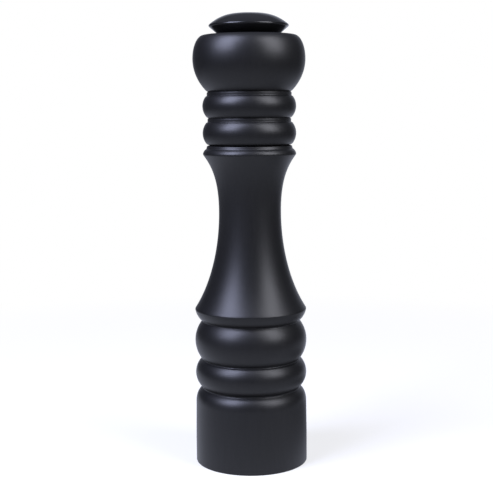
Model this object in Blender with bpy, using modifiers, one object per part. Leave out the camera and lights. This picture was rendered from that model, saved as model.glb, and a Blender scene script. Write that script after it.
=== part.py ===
"""A turned wooden pepper mill with a through shaft, standing on Z = 0 with its axis on Z.

Knob, head and body are turned wood. A square shaft runs from a conical burr in the base,
through the peppercorn chamber and the head, to a thread inside the knob. Turning the head
turns the shaft, and tightening the knob draws the burr up into its ring for a finer grind.
"""

import math

import bmesh
import bpy
from mathutils import Matrix, Vector
from mathutils.geometry import interpolate_bezier

# Sizes are in millimetres, and MM turns them into Blender's metres.
MM = 0.001
GAP = 0.3  # running and seating clearance between neighbouring pieces

TURN_STEPS = 36  # facets round the wood
SMALL_STEPS = 20  # facets round metal and plastic discs
SCREW_STEPS = 10
MERGE = 1e-6  # metres

# Outside of the wood
HEIGHT = 254.0
KNOB_RIM = (22.3, 247.4)
HEAD_TOP = 242.1
HEAD_BALL = (31.4, 229.2)
JOINT = 181.7  # where the head stands on the body
WAIST = (17.55, 144.5)
COLLAR_EDGE = (26.2, 176.8)
LOWER_COLLAR_EDGE = (31.75, 88.6)
BASE_RADIUS = 32.0

# Shaft: a square bar, turned down to a thread above and to a journal below
SHAFT_SIDE = 5.5
SHAFT_CORNER = SHAFT_SIDE / math.sqrt(2)
SQUARE_HOLE = SHAFT_SIDE + 2 * GAP
ROUND_HOLE = 4.2
SHAFT_FOOT = 5.3
SHAFT_SHOULDER = 238.0
SHAFT_TIP = 248.6
THREAD_RADIUS = 2.5
JOURNAL_RADIUS = 2.0
JOURNAL_TIP = 2.4

# Hollows in the body, from the top down
CHAMBER_RADIUS = 13.5
BRIDGE_ROOM = (18.2, 30.0)  # radius and ceiling of the room round the bridge
FLANGE_ROOM = (20.5, 8.5)
PLATE_ROOM = (26.0, 3.7)

# Head spigot and drive plate
SPIGOT_RADIUS = CHAMBER_RADIUS - GAP
SPIGOT_END = 168.2
DRIVE_PLATE = (11.5, 1.2)  # radius and thickness

# Burrs
TEETH = 24
TOOTH_DEPTH = 0.8
TOOTH_TWIST = math.radians(18)
STATOR_TIPS = ((3.7, 14.9), (8.0, 12.9), (16.5, 11.9))  # height and radius inside the teeth
ROTOR_TIPS = ((5.0, 13.8), (8.0, 12.4), (11.0, 10.0), (14.0, 7.2))
STATOR_RING_RADIUS = 15.6
STATOR_FLANGE = (20.2, 3.0)

# Bridge over the burrs, and what bears on it
STRAP = 1.2  # sheet thickness
STRAP_WIDTH = 9.0
STRAP_UNDERSIDE = 26.0
STRAP_LEG = 17.2  # outside of a leg
STRAP_FOOT = 19.7
STRAP_EYE = 8.6  # radius of the eye round the bushing
BUSHING = (5.2, 7.6, 1.2)  # barrel radius, flange radius, flange thickness
THRUST_WASHER = (7.5, 1.0)

SPRING_WIRE = 0.45
SPRING_RADIUS = 5.3
SPRING_TURNS = 6

# Plate that holds the burr ring up in the base
RETAINING_PLATE = (25.7, 16.0, 1.2)  # outer radius, inner radius, thickness

# Wood screws: shank radius, head radius, head height, length under the head
SHANK = 0.9
SCREW_HEAD_HEIGHT = 1.0
DRIVE_SCREW = (2.0, 9.6, 8.2)  # head radius, length, distance from the axis
PLATE_SCREW = (2.2, 9.1, 23.0)
SCREW_COUNT = 3

# Brass insert and its washer under the knob
INSERT_FLANGE = (9.0, 1.1)
INSERT_BARREL = 4.6
INSERT_TOP = 251.0
KNOB_WASHER_THICKNESS = 0.7

FINISHES = {
    "black_lacquer": ((0.016, 0.016, 0.018), 0.36, 0.0),
    "knob_lacquer": ((0.014, 0.014, 0.015), 0.24, 0.0),
    "zinc_steel": ((0.56, 0.57, 0.58), 0.34, 1.0),
    "shaft_aluminium": ((0.70, 0.71, 0.72), 0.30, 1.0),
    "burr_steel": ((0.20, 0.20, 0.21), 0.42, 1.0),
    "brass": ((0.72, 0.53, 0.22), 0.28, 1.0),
    "acetal": ((0.80, 0.79, 0.74), 0.45, 0.0),
}


# ---------------------------------------------------------------- scene and materials


def clear_scene():
    for thing in list(bpy.data.objects):
        bpy.data.objects.remove(thing, do_unlink=True)


def new_collection(name):
    made = bpy.data.collections.new(name)
    bpy.context.scene.collection.children.link(made)
    return made


def make_finish(name):
    colour, roughness, metallic = FINISHES[name]
    material = bpy.data.materials.new(name)
    material.use_nodes = True
    shader = material.node_tree.nodes["Principled BSDF"]
    shader.inputs["Base Color"].default_value = (*colour, 1.0)
    shader.inputs["Roughness"].default_value = roughness
    shader.inputs["Metallic"].default_value = metallic
    return material


def place(thing, finish):
    """Put a finished sub-part in the mill's collection with its material."""
    thing.data.materials.clear()
    thing.data.materials.append(materials[finish])
    mill.objects.link(thing)
    return thing


def as_cutter(thing):
    cutters.objects.link(thing)
    thing.hide_render = True
    thing.display_type = "WIRE"
    return thing


def combine(thing, other, operation="DIFFERENCE"):
    cut = thing.modifiers.new(f"{operation.lower()} {other.name}", "BOOLEAN")
    cut.operation = operation
    cut.solver = "EXACT"
    cut.object = other


# ---------------------------------------------------------------- outlines, in (radius, height)


def curve(start, leave, arrive, end, count=8):
    """Points of a Bezier stretch, both ends included."""
    knots = [Vector((radius, height, 0.0)) for radius, height in (start, leave, arrive, end)]
    return [(point.x, point.y) for point in interpolate_bezier(*knots, count)]


def bead(widest, height, roundness, top, bottom, count=6):
    """Points down a round bead, an arc of radius roundness that is widest at height."""
    centre = widest - roundness
    first = math.asin((top - height) / roundness)
    last = math.asin((bottom - height) / roundness)
    angles = [first + (last - first) * step / count for step in range(count + 1)]
    return [(centre + roundness * math.cos(a), height + roundness * math.sin(a)) for a in angles]


def disc(radius, bottom, top):
    return [(0.0, top), (radius, top), (radius, bottom), (0.0, bottom)]


def ring(outer, inner, bottom, top):
    return [(outer, top), (outer, bottom), (inner, bottom), (inner, top)]


# ---------------------------------------------------------------- solids


def turned(name, outline, steps=TURN_STEPS, solid=False):
    """Turn an outline about Z. It runs down the outside and, unless solid, back up the bore."""
    count = len(outline)
    edges = [(i, i + 1) for i in range(count - 1)]
    if not solid:
        edges.append((count - 1, 0))
    mesh = bpy.data.meshes.new(name)
    mesh.from_pydata([(radius * MM, 0.0, height * MM) for radius, height in outline], edges, [])
    thing = bpy.data.objects.new(name, mesh)
    turn = thing.modifiers.new("turn", "SCREW")
    turn.steps = turn.render_steps = steps
    turn.use_merge_vertices = True
    turn.merge_threshold = MERGE
    turn.use_smooth_shade = True
    return thing


def square_bar(name, side, bottom, top):
    mesh = bpy.data.meshes.new(name)
    form = bmesh.new()
    size = Vector((side, side, top - bottom)) * MM
    middle = Vector((0.0, 0.0, (top + bottom) / 2 * MM))
    bmesh.ops.create_cube(form, size=1.0, matrix=Matrix.Translation(middle) @ Matrix.Diagonal(size).to_4x4())
    form.to_mesh(mesh)
    form.free()
    return bpy.data.objects.new(name, mesh)


def toothed_cone(name, levels, valley, twist):
    """A closed cone of twisted teeth. levels are (height, tip radius) and valley is the teeth's
    other radius less the tip radius."""
    form = bmesh.new()
    height, radius = levels[0]
    rim = bmesh.ops.create_circle(form, cap_ends=True, radius=1.0, segments=2 * TEETH)["verts"]
    for number, corner in enumerate(rim):
        corner.co *= (radius + valley * (number % 2)) * MM
        corner.co.z = height * MM
    foot = face = form.faces[:][0]
    span = levels[-1][0] - height
    for next_height, next_radius in levels[1:]:
        grown = bmesh.ops.extrude_face_region(form, geom=[face])["geom"]
        if face is not foot:
            bmesh.ops.delete(form, geom=[face], context="FACES_ONLY")
        face = next(item for item in grown if isinstance(item, bmesh.types.BMFace))
        turn = Matrix.Rotation(twist * (next_height - height) / span, 3, "Z")
        for corner in face.verts:
            flat = Vector((corner.co.x, corner.co.y, 0.0))
            flat *= (flat.length + (next_radius - radius) * MM) / flat.length
            corner.co = turn @ flat
            corner.co.z = next_height * MM
        height, radius = next_height, next_radius
    bmesh.ops.recalc_face_normals(form, faces=form.faces[:])
    mesh = bpy.data.meshes.new(name)
    form.to_mesh(mesh)
    form.free()
    return bpy.data.objects.new(name, mesh)


def mesh_of(guide, name):
    """The mesh of a curve object, with its caps welded, in the guide's place."""
    bpy.context.scene.collection.objects.link(guide)
    bpy.context.view_layer.update()
    settled = guide.evaluated_get(bpy.context.evaluated_depsgraph_get())
    mesh = bpy.data.meshes.new_from_object(settled)
    form = bmesh.new()
    form.from_mesh(mesh)
    bmesh.ops.remove_doubles(form, verts=form.verts[:], dist=MERGE)
    form.to_mesh(mesh)
    form.free()
    made = bpy.data.objects.new(name, mesh)
    made.matrix_world = guide.matrix_world
    bpy.data.objects.remove(guide, do_unlink=True)
    return made


def around(count, distance):
    """Places spaced evenly round the axis, at a distance from it, in metres."""
    for number in range(count):
        angle = math.tau * (number + 0.25) / count
        yield number + 1, Vector((math.cos(angle), math.sin(angle), 0.0)) * distance * MM


# ---------------------------------------------------------------- wood


def knob_outline():
    rim_radius, rim_height = KNOB_RIM
    underside = HEAD_TOP + GAP
    recess, flange = INSERT_FLANGE
    seat = underside + KNOB_WASHER_THICKNESS + flange + 2 * GAP
    outline = [(0.0, HEIGHT)]
    outline += curve((7.0, HEIGHT), (14.2, HEIGHT - 0.3), (19.0, rim_height + 3.0), (22.0, rim_height + 0.5))
    outline += [(rim_radius, rim_height), (22.0, rim_height - 0.5), (16.8, underside)]
    outline += [(recess + GAP, underside), (recess + GAP, seat)]
    outline += [(INSERT_BARREL + GAP, seat), (INSERT_BARREL + GAP, INSERT_TOP + GAP)]
    outline.append((0.0, INSERT_TOP + GAP))
    return outline


def make_knob():
    return place(turned("knob", knob_outline(), solid=True), "knob_lacquer")


def head_outline():
    """The ball, its two beads and the spigot, with the shaft's hole through all of them."""
    widest, middle = HEAD_BALL
    outline = curve((25.7, HEAD_TOP), (28.4, HEAD_TOP - 0.3), (widest, 236.8), HEAD_BALL, 6)
    outline += curve(HEAD_BALL, (widest, middle - 6.6), (28.6, 216.4), (23.9, 211.6), 7)[1:]
    outline += [(23.0, 211.2), (23.7, 210.8), (23.7, 208.9)]
    outline += bead(26.2, 203.2, 9.0, 208.6, 197.0)
    outline += [(22.9, 196.6), (23.4, 196.2), (23.4, 194.4)]
    outline += bead(26.2, 188.2, 9.4, 194.1, 182.2)
    outline += [(23.0, JOINT), (SPIGOT_RADIUS, JOINT)]
    outline += [(SPIGOT_RADIUS, SPIGOT_END + 0.8), (SPIGOT_RADIUS - 0.8, SPIGOT_END)]
    outline += [(ROUND_HOLE, SPIGOT_END), (ROUND_HOLE, HEAD_TOP)]
    return outline


def make_head():
    head = turned("head", head_outline())
    _, length, distance = DRIVE_SCREW
    top = SPIGOT_END + length
    for number, spot in around(SCREW_COUNT, distance):
        combine(head, pilot_hole(f"head pilot {number}", spot, SPIGOT_END - 1.0, top))
    return place(head, "black_lacquer")


def body_outline():
    """Collar, waist, lower collar, two beads and base, then the stepped bore back up."""
    top = JOINT - GAP
    waist, waist_height = WAIST
    outline = [(23.2, top), (23.9, top - 0.3), (24.2, 179.7)]
    outline += curve((24.3, 179.5), (25.2, 179.0), (26.0, 178.0), COLLAR_EDGE, 4)
    outline += curve((26.1, 176.2), (22.6, 171.3), (waist, 164.0), WAIST, 9)
    outline += curve(WAIST, (waist, 120.5), (23.9, 101.0), (31.6, 89.0), 10)[1:]
    outline.append(LOWER_COLLAR_EDGE)
    outline += curve((31.6, 88.0), (31.2, 86.0), (30.0, 84.0), (28.7, 82.8), 4)
    outline += [(27.8, 82.3), (27.8, 81.7)]
    outline += bead(31.85, 70.7, 17.0, 81.1, 60.6)
    outline += [(28.0, 60.1), (28.0, 59.5)]
    outline += bead(31.75, 51.8, 10.6, 59.0, 44.1)
    outline += [(28.0, 43.5), (28.0, 42.9)]
    outline += curve((28.7, 42.3), (30.4, 41.0), (31.7, 38.6), (31.75, 35.0), 5)
    outline += [(BASE_RADIUS, 16.0), (BASE_RADIUS, 0.6), (BASE_RADIUS - 0.6, 0.0)]
    height = 0.0
    for radius, ceiling in (PLATE_ROOM, FLANGE_ROOM, BRIDGE_ROOM):
        outline += [(radius, height), (radius, ceiling)]
        height = ceiling
    outline += [(CHAMBER_RADIUS, height), (CHAMBER_RADIUS, top)]
    return outline


def make_body():
    body = turned("body", body_outline())
    _, length, distance = PLATE_SCREW
    floor = PLATE_ROOM[1]
    for number, spot in around(SCREW_COUNT, distance):
        combine(body, pilot_hole(f"body pilot {number}", spot, floor - 1.0, floor + length - 1.0))
    return place(body, "black_lacquer")


# ---------------------------------------------------------------- fasteners


def pilot_hole(name, spot, bottom, top):
    hole = turned(name, disc(SHANK + GAP, bottom, top), SCREW_STEPS, solid=True)
    hole.location = spot
    return as_cutter(hole)


def make_screw(name, spot, seat, head_radius, length):
    """A pan-head wood screw that points up, its head hanging below the seat."""
    underside = seat - SCREW_HEAD_HEIGHT
    outline = [(0.0, seat + length), (SHANK * 0.3, seat + length), (SHANK, seat + length - 1.6)]
    outline += [(SHANK, seat), (head_radius, seat), (head_radius, underside + 0.5)]
    outline += [(head_radius * 0.8, underside), (0.0, underside)]
    screw = turned(name, outline, SCREW_STEPS, solid=True)
    screw.location = spot
    return place(screw, "zinc_steel")


# ---------------------------------------------------------------- drive train


def square_hole(name, bottom, top):
    return as_cutter(square_bar(name, SQUARE_HOLE, bottom, top))


def make_shaft():
    """A square bar with its ends turned down, round thread above and journal below."""
    shaft = square_bar("shaft", SHAFT_SIDE, SHAFT_FOOT, SHAFT_SHOULDER)
    thread = [(0.0, SHAFT_TIP), (THREAD_RADIUS - 0.6, SHAFT_TIP), (THREAD_RADIUS, SHAFT_TIP - 0.6)]
    thread += [(THREAD_RADIUS, SHAFT_SHOULDER - 1.0), (0.0, SHAFT_SHOULDER - 1.0)]
    journal = disc(JOURNAL_RADIUS, JOURNAL_TIP, SHAFT_FOOT + 1.0)
    for name, outline in (("shaft thread", thread), ("shaft journal", journal)):
        combine(shaft, as_cutter(turned(name, outline, SMALL_STEPS, solid=True)), "UNION")
    return place(shaft, "shaft_aluminium")


def make_knob_insert():
    """A flanged brass nut with a blind thread, let into the knob."""
    flange_radius, flange = INSERT_FLANGE
    foot = HEAD_TOP + KNOB_WASHER_THICKNESS + 2 * GAP
    bore = THREAD_RADIUS + GAP
    outline = [(0.0, INSERT_TOP), (INSERT_BARREL - 0.4, INSERT_TOP), (INSERT_BARREL, INSERT_TOP - 0.4)]
    outline += [(INSERT_BARREL, foot + flange), (flange_radius, foot + flange), (flange_radius, foot)]
    outline += [(bore, foot), (bore, INSERT_TOP - 1.0), (0.0, INSERT_TOP - 1.0)]
    return place(turned("knob_insert", outline, SMALL_STEPS, solid=True), "brass")


def make_knob_washer():
    bottom = HEAD_TOP + GAP
    outline = ring(INSERT_FLANGE[0], ROUND_HOLE, bottom, bottom + KNOB_WASHER_THICKNESS)
    return place(turned("knob_washer", outline, SMALL_STEPS), "acetal")


def make_drive_plate():
    """The disc under the spigot whose square hole keys the head to the shaft."""
    radius, thickness = DRIVE_PLATE
    top = SPIGOT_END - GAP
    plate = turned("drive_plate", disc(radius, top - thickness, top), SMALL_STEPS, solid=True)
    combine(plate, square_hole("drive plate square", top - thickness - 1.0, top + 1.0))
    for number, spot in around(SCREW_COUNT, DRIVE_SCREW[2]):
        hole = pilot_hole(f"drive plate hole {number}", spot, top - thickness - 1.0, top + 1.0)
        combine(plate, hole)
    return place(plate, "zinc_steel")


def make_drive_plate_screws():
    head_radius, length, distance = DRIVE_SCREW
    seat = SPIGOT_END - DRIVE_PLATE[1] - 2 * GAP
    for number, spot in around(SCREW_COUNT, distance):
        make_screw(f"drive_plate_screw_{number}", spot, seat, head_radius, length)


# ---------------------------------------------------------------- mill mechanism


def make_bridge():
    """A strap bent like a hat over the burrs, held by its feet on the burr ring's flange."""
    top = STRAP_UNDERSIDE + STRAP
    foot = STATOR_TIPS[0][0] + STATOR_FLANGE[1] + GAP
    bend = 2.0
    half = [(STRAP_FOOT, foot), (STRAP_FOOT, foot + STRAP), (STRAP_LEG, foot + STRAP)]
    half += [(STRAP_LEG, top - bend), (STRAP_LEG - bend, top)]
    inner = STRAP_LEG - STRAP
    half += [(-(STRAP_LEG - bend), top), (-STRAP_LEG, top - bend), (-STRAP_LEG, foot + STRAP)]
    half += [(-STRAP_FOOT, foot + STRAP), (-STRAP_FOOT, foot), (-inner, foot)]
    half += [(-inner, STRAP_UNDERSIDE - bend + 0.5), (-(inner - bend + 0.5), STRAP_UNDERSIDE)]
    half += [(inner - bend + 0.5, STRAP_UNDERSIDE), (inner, STRAP_UNDERSIDE - bend + 0.5), (inner, foot)]
    outline = bpy.data.curves.new("bridge", "CURVE")
    outline.dimensions = "2D"
    outline.fill_mode = "BOTH"
    outline.extrude = STRAP_WIDTH / 2 * MM
    run = outline.splines.new("POLY")
    run.points.add(len(half) - 1)
    for point, (x, z) in zip(run.points, half):
        point.co = (x * MM, z * MM, 0.0, 1.0)
    run.use_cyclic_u = True
    guide = bpy.data.objects.new("bridge outline", outline)
    guide.rotation_euler.x = math.pi / 2
    bridge = mesh_of(guide, "bridge")
    eye = disc(STRAP_EYE, STRAP_UNDERSIDE, top)
    hole = disc(BUSHING[0] + GAP, STRAP_UNDERSIDE - 1.0, top + 1.0)
    combine(bridge, as_cutter(turned("bridge eye", eye, SMALL_STEPS, solid=True)), "UNION")
    combine(bridge, as_cutter(turned("bridge hole", hole, SMALL_STEPS, solid=True)))
    return place(bridge, "zinc_steel")


def make_bridge_bushing():
    barrel, flange_radius, flange = BUSHING
    seat = STRAP_UNDERSIDE + STRAP + GAP
    outline = [(flange_radius, seat + flange), (flange_radius, seat), (barrel, seat)]
    outline += [(barrel, STRAP_UNDERSIDE), (ROUND_HOLE, STRAP_UNDERSIDE), (ROUND_HOLE, seat + flange)]
    return place(turned("bridge_bushing", outline, SMALL_STEPS), "acetal")


def make_thrust_washer():
    radius, thickness = THRUST_WASHER
    top = STRAP_UNDERSIDE - GAP
    washer = turned("thrust_washer", disc(radius, top - thickness, top), SMALL_STEPS, solid=True)
    combine(washer, square_hole("thrust washer square", top - thickness - 1.0, top + 1.0))
    return place(washer, "zinc_steel")


def make_spring():
    """An open coil that pushes the rotor away from the bridge."""
    bottom = ROTOR_TIPS[-1][0] + GAP + SPRING_WIRE
    top = STRAP_UNDERSIDE - THRUST_WASHER[1] - 2 * GAP - SPRING_WIRE
    points_a_turn = 10
    steps = SPRING_TURNS * points_a_turn
    wire = bpy.data.curves.new("spring", "CURVE")
    wire.dimensions = "3D"
    wire.bevel_depth = SPRING_WIRE * MM
    wire.bevel_resolution = 1
    wire.use_fill_caps = True
    run = wire.splines.new("POLY")
    run.points.add(steps)
    for step, point in enumerate(run.points):
        angle = math.tau * step / points_a_turn
        height = bottom + (top - bottom) * step / steps
        x, y = SPRING_RADIUS * math.cos(angle), SPRING_RADIUS * math.sin(angle)
        point.co = (x * MM, y * MM, height * MM, 1.0)
    return place(bpy.data.objects.new("spring", wire), "zinc_steel")


def make_stator():
    """The burr ring: a flange, a ring above it, and inward teeth in a tapered bore."""
    foot, wide = STATOR_TIPS[0]
    crown, narrow = STATOR_TIPS[-1]
    radius, thickness = STATOR_FLANGE
    outline = [(0.0, crown), (STATOR_RING_RADIUS, crown), (STATOR_RING_RADIUS, foot + thickness)]
    outline += [(radius, foot + thickness), (radius, foot), (0.0, foot)]
    stator = turned("stator", outline, solid=True)
    levels = [(foot - 1.0, wide), *STATOR_TIPS, (crown + 1.0, narrow)]
    combine(stator, as_cutter(toothed_cone("stator teeth", levels, TOOTH_DEPTH, -TOOTH_TWIST)))
    return place(stator, "burr_steel")


def make_rotor():
    """The cone burr. It widens downwards, so that lifting it closes the gap to the ring."""
    rotor = toothed_cone("rotor", ROTOR_TIPS, -TOOTH_DEPTH, TOOTH_TWIST)
    combine(rotor, square_hole("rotor square", ROTOR_TIPS[0][0] - 1.0, ROTOR_TIPS[-1][0] + 1.0))
    return place(rotor, "burr_steel")


def make_shaft_end():
    """The washer under the rotor, and the push nut that grips the journal below it."""
    bore = JOURNAL_RADIUS + GAP
    washer_top = ROTOR_TIPS[0][0] - GAP
    washer_bottom = washer_top - 0.7
    nut_top = washer_bottom - GAP
    washer = turned("rotor_washer", ring(5.0, bore, washer_bottom, washer_top), SMALL_STEPS)
    place(washer, "zinc_steel")
    nut = turned("push_nut", ring(4.2, bore, nut_top - 0.7, nut_top), SMALL_STEPS)
    place(nut, "zinc_steel")


def make_retaining_plate():
    outer, inner, thickness = RETAINING_PLATE
    top = PLATE_ROOM[1] - GAP
    plate = turned("retaining_plate", ring(outer, inner, top - thickness, top))
    head_radius, length, distance = PLATE_SCREW
    seat = top - thickness - GAP
    for number, spot in around(SCREW_COUNT, distance):
        hole = pilot_hole(f"retaining plate hole {number}", spot, top - thickness - 1.0, top + 1.0)
        combine(plate, hole)
        make_screw(f"retaining_screw_{number}", spot, seat, head_radius, length)
    return place(plate, "zinc_steel")


clear_scene()
mill = new_collection("pepper_mill")
cutters = new_collection("cutters")
materials = {name: make_finish(name) for name in FINISHES}

make_knob()
make_knob_insert()
make_knob_washer()
make_head()
make_drive_plate()
make_drive_plate_screws()
make_shaft()
make_body()
make_bridge()
make_bridge_bushing()
make_thrust_washer()
make_spring()
make_stator()
make_rotor()
make_shaft_end()
make_retaining_plate()
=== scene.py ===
"""A turned pepper mill in black lacquer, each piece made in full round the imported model.

The pieces come in the order of assembly: the body and the burrs in its base, the shaft,
the head with its drive plate, and the knob. Outlines are in millimetres, as (radius, height).
"""

import math
import bpy
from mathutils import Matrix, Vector
from mathutils.geometry import interpolate_bezier


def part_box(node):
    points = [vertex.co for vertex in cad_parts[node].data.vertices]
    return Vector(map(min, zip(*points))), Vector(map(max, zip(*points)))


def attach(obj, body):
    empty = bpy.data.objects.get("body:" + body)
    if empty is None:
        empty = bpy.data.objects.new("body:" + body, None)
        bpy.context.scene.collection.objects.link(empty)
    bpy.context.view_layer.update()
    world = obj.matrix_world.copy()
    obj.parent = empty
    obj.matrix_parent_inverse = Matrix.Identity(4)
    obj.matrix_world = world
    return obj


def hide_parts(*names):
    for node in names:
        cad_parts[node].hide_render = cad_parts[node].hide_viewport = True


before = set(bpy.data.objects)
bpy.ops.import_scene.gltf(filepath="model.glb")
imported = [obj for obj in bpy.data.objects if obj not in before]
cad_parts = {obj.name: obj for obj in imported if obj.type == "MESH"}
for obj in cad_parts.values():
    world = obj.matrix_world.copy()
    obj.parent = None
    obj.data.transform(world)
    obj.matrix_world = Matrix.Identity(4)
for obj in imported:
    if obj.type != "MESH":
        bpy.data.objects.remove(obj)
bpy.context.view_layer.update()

# ---------------------------------------------------------------- body
# The lower piece: beech turned on a lathe between two centres, sanded, and sprayed with satin
# black lacquer. The chamber bored down it and the stepped recess for the mechanism are left as
# bare wood, and the edges that the lathe leaves sharp are eased with sandpaper.

MM = 0.001
WELD = 1e-6  # metres; points closer than this are one point
SHARP = math.radians(20)
WOOD_FACETS = 144
WOOD_EASE = 0.4

BODY_TOP = 181.4
WAIST = (17.55, 144.5)
UPPER_COLLAR = (26.2, 176.8)
LOWER_COLLAR = (31.75, 88.6)
FOOT_RADIUS = 32.0
CHAMBER_RADIUS = 13.5
RECESS = ((26.0, 3.7), (20.5, 8.5), (18.2, 30.0))  # each step's radius and ceiling
PILOT_RADIUS = 1.2
PLATE_SCREW_CIRCLE = 23.0
PLATE_PILOT_TOP = 12.1
PAST = 1.0  # how far a cut runs past the faces it goes through
NOISE_REACH = (0.3, 0.7)  # noise seldom leaves the middle of its range


def curve(start, leave, arrive, end, count=26):
    """Points along a Bezier stretch of an outline, both ends included."""
    knots = [Vector((radius, height, 0.0)) for radius, height in (start, leave, arrive, end)]
    return [(point.x, point.y) for point in interpolate_bezier(*knots, count)]


def bead(widest, height, roundness, top, bottom, count=24):
    """Points down a round bead that is widest at height, an arc of radius roundness."""
    centre = widest - roundness
    first = math.asin((top - height) / roundness)
    last = math.asin((bottom - height) / roundness)
    angles = [first + (last - first) * step / count for step in range(count + 1)]
    return [(centre + roundness * math.cos(a), height + roundness * math.sin(a)) for a in angles]


def eased(outline, reach, closed=True, cuts=5):
    """The outline with every sharp corner rounded, from reach millimetres before it to as far
    after it, or less where the next corner is close."""
    points = [Vector(point) for point in outline]
    if closed:
        seam = (points[0] + points[-1]) / 2
        points = [seam, *points, seam]
    along = [0.0]
    for here, there in zip(points, points[1:]):
        along.append(along[-1] + (there - here).length)

    def at(distance):
        leg = next(i for i in range(1, len(along)) if distance <= along[i] + 1e-9)
        share = (distance - along[leg - 1]) / (along[leg] - along[leg - 1])
        return points[leg - 1].lerp(points[leg], share)

    last = len(points) - 1
    corners = [0]
    for i in range(1, last):
        if (points[i] - points[i - 1]).angle(points[i + 1] - points[i]) > SHARP:
            corners.append(i)
    corners.append(last)
    rounds = {}
    for before, corner, after in zip(corners, corners[1:], corners[2:]):
        room = min(along[corner] - along[before], along[after] - along[corner])
        rounds[corner] = min(reach, 0.46 * room)
    result = []
    for i, point in enumerate(points):
        if i in rounds:
            enter, leave = at(along[i] - rounds[i]), at(along[i] + rounds[i])
            for cut in range(cuts + 1):
                share = cut / cuts
                result.append(enter.lerp(point, share).lerp(point.lerp(leave, share), share))
        elif all(abs(along[i] - along[c]) > reach + WELD for c, reach in rounds.items()):
            result.append(point)
    return [(point.x, point.y) for point in result]


def lathe(name, outline, facets):
    """Draw an outline beside the axis, point by point, and spin it into a solid."""
    bpy.ops.object.select_all(action="DESELECT")
    bpy.ops.mesh.primitive_plane_add(size=MM)
    bpy.ops.object.mode_set(mode="EDIT")
    bpy.ops.mesh.merge(type="CENTER")
    radius, height = outline[0]
    bpy.ops.transform.translate(value=(radius * MM, 0.0, height * MM))
    for (radius, height), (next_radius, next_height) in zip(outline, outline[1:]):
        stroke = ((next_radius - radius) * MM, 0.0, (next_height - height) * MM)
        bpy.ops.mesh.extrude_region_move(TRANSFORM_OT_translate={"value": stroke})
    bpy.ops.mesh.select_all(action="SELECT")
    bpy.ops.mesh.remove_doubles(threshold=WELD)
    bpy.ops.mesh.spin(steps=facets, angle=math.tau, center=(0, 0, 0), axis=(0, 0, 1))
    bpy.ops.mesh.select_all(action="SELECT")
    bpy.ops.mesh.remove_doubles(threshold=WELD)
    bpy.ops.mesh.normals_make_consistent(inside=False)
    bpy.ops.object.mode_set(mode="OBJECT")
    piece = bpy.context.object
    piece.name = name
    return piece


def cut(piece, cutter, operation="DIFFERENCE"):
    """Cut a piece with another, or join the two, and throw the other away."""
    bpy.ops.object.select_all(action="DESELECT")
    piece.select_set(True)
    bpy.context.view_layer.objects.active = piece
    step = piece.modifiers.new(operation.lower(), "BOOLEAN")
    step.operation = operation
    step.solver = "EXACT"
    step.object = cutter
    bpy.ops.object.modifier_apply(modifier=step.name)
    bpy.data.objects.remove(cutter)


def drill(piece, radius, spot, bottom, top):
    """A round hole along Z through a spot beside the axis."""
    x, y = spot
    middle = (x * MM, y * MM, (bottom + top) / 2 * MM)
    depth = (top - bottom) * MM
    bpy.ops.mesh.primitive_cylinder_add(vertices=24, radius=radius * MM, depth=depth, location=middle)
    cut(piece, bpy.context.object)


def around(distance, count=3):
    """Spots spaced evenly round the axis, where the screws go."""
    for number in range(count):
        angle = math.tau * (number + 0.25) / count
        yield distance * math.cos(angle), distance * math.sin(angle)


def smooth(piece, crease=38):
    """Shade a piece round, but for edges that turn by more than crease degrees."""
    bpy.ops.object.select_all(action="DESELECT")
    piece.select_set(True)
    bpy.context.view_layer.objects.active = piece
    bpy.ops.object.shade_smooth_by_angle(angle=math.radians(crease))


def new_finish(name, colour, roughness, metallic=0.0):
    """A material, with its shader and the Object coordinates that its patterns use."""
    material = bpy.data.materials.new(name)
    material.use_nodes = True
    nodes = material.node_tree.nodes
    shader = nodes["Principled BSDF"]
    shader.inputs["Base Color"].default_value = (*colour, 1.0)
    shader.inputs["Roughness"].default_value = roughness
    shader.inputs["Metallic"].default_value = metallic
    place = nodes.new("ShaderNodeTexCoord")
    return material, shader, place.outputs["Object"]


def mottle(material, place, scale, stretch=(1.0, 1.0, 1.0), detail=3.0):
    """Noise in metres: scale is blots per metre across, and stretch squeezes each axis."""
    nodes, links = material.node_tree.nodes, material.node_tree.links
    fit = nodes.new("ShaderNodeMapping")
    fit.inputs["Scale"].default_value = stretch
    links.new(place, fit.inputs["Vector"])
    noise = nodes.new("ShaderNodeTexNoise")
    noise.inputs["Scale"].default_value = scale
    noise.inputs["Detail"].default_value = detail
    links.new(fit.outputs["Vector"], noise.inputs["Vector"])
    return noise.outputs["Fac"]


def vary(material, socket, pattern, low, high):
    """Drive a number on the shader between two values with a pattern of noise."""
    nodes, links = material.node_tree.nodes, material.node_tree.links
    reach = nodes.new("ShaderNodeMapRange")
    reach.inputs["From Min"].default_value, reach.inputs["From Max"].default_value = NOISE_REACH
    reach.inputs["To Min"].default_value = low
    reach.inputs["To Max"].default_value = high
    links.new(pattern, reach.inputs["Value"])
    links.new(reach.outputs["Result"], socket)


def tint(material, shader, pattern, stops):
    """Colour the surface along a ramp of (position, colour) stops."""
    nodes, links = material.node_tree.nodes, material.node_tree.links
    ramp = nodes.new("ShaderNodeValToRGB")
    colours = ramp.color_ramp.elements
    colours[0].position, colours[1].position = stops[0][0], stops[-1][0]
    for position, _ in stops[1:-1]:
        colours.new(position)
    for element, (_, colour) in zip(colours, stops):
        element.color = (*colour, 1.0)
    links.new(pattern, ramp.inputs["Fac"])
    links.new(ramp.outputs["Color"], shader.inputs["Base Color"])


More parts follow.
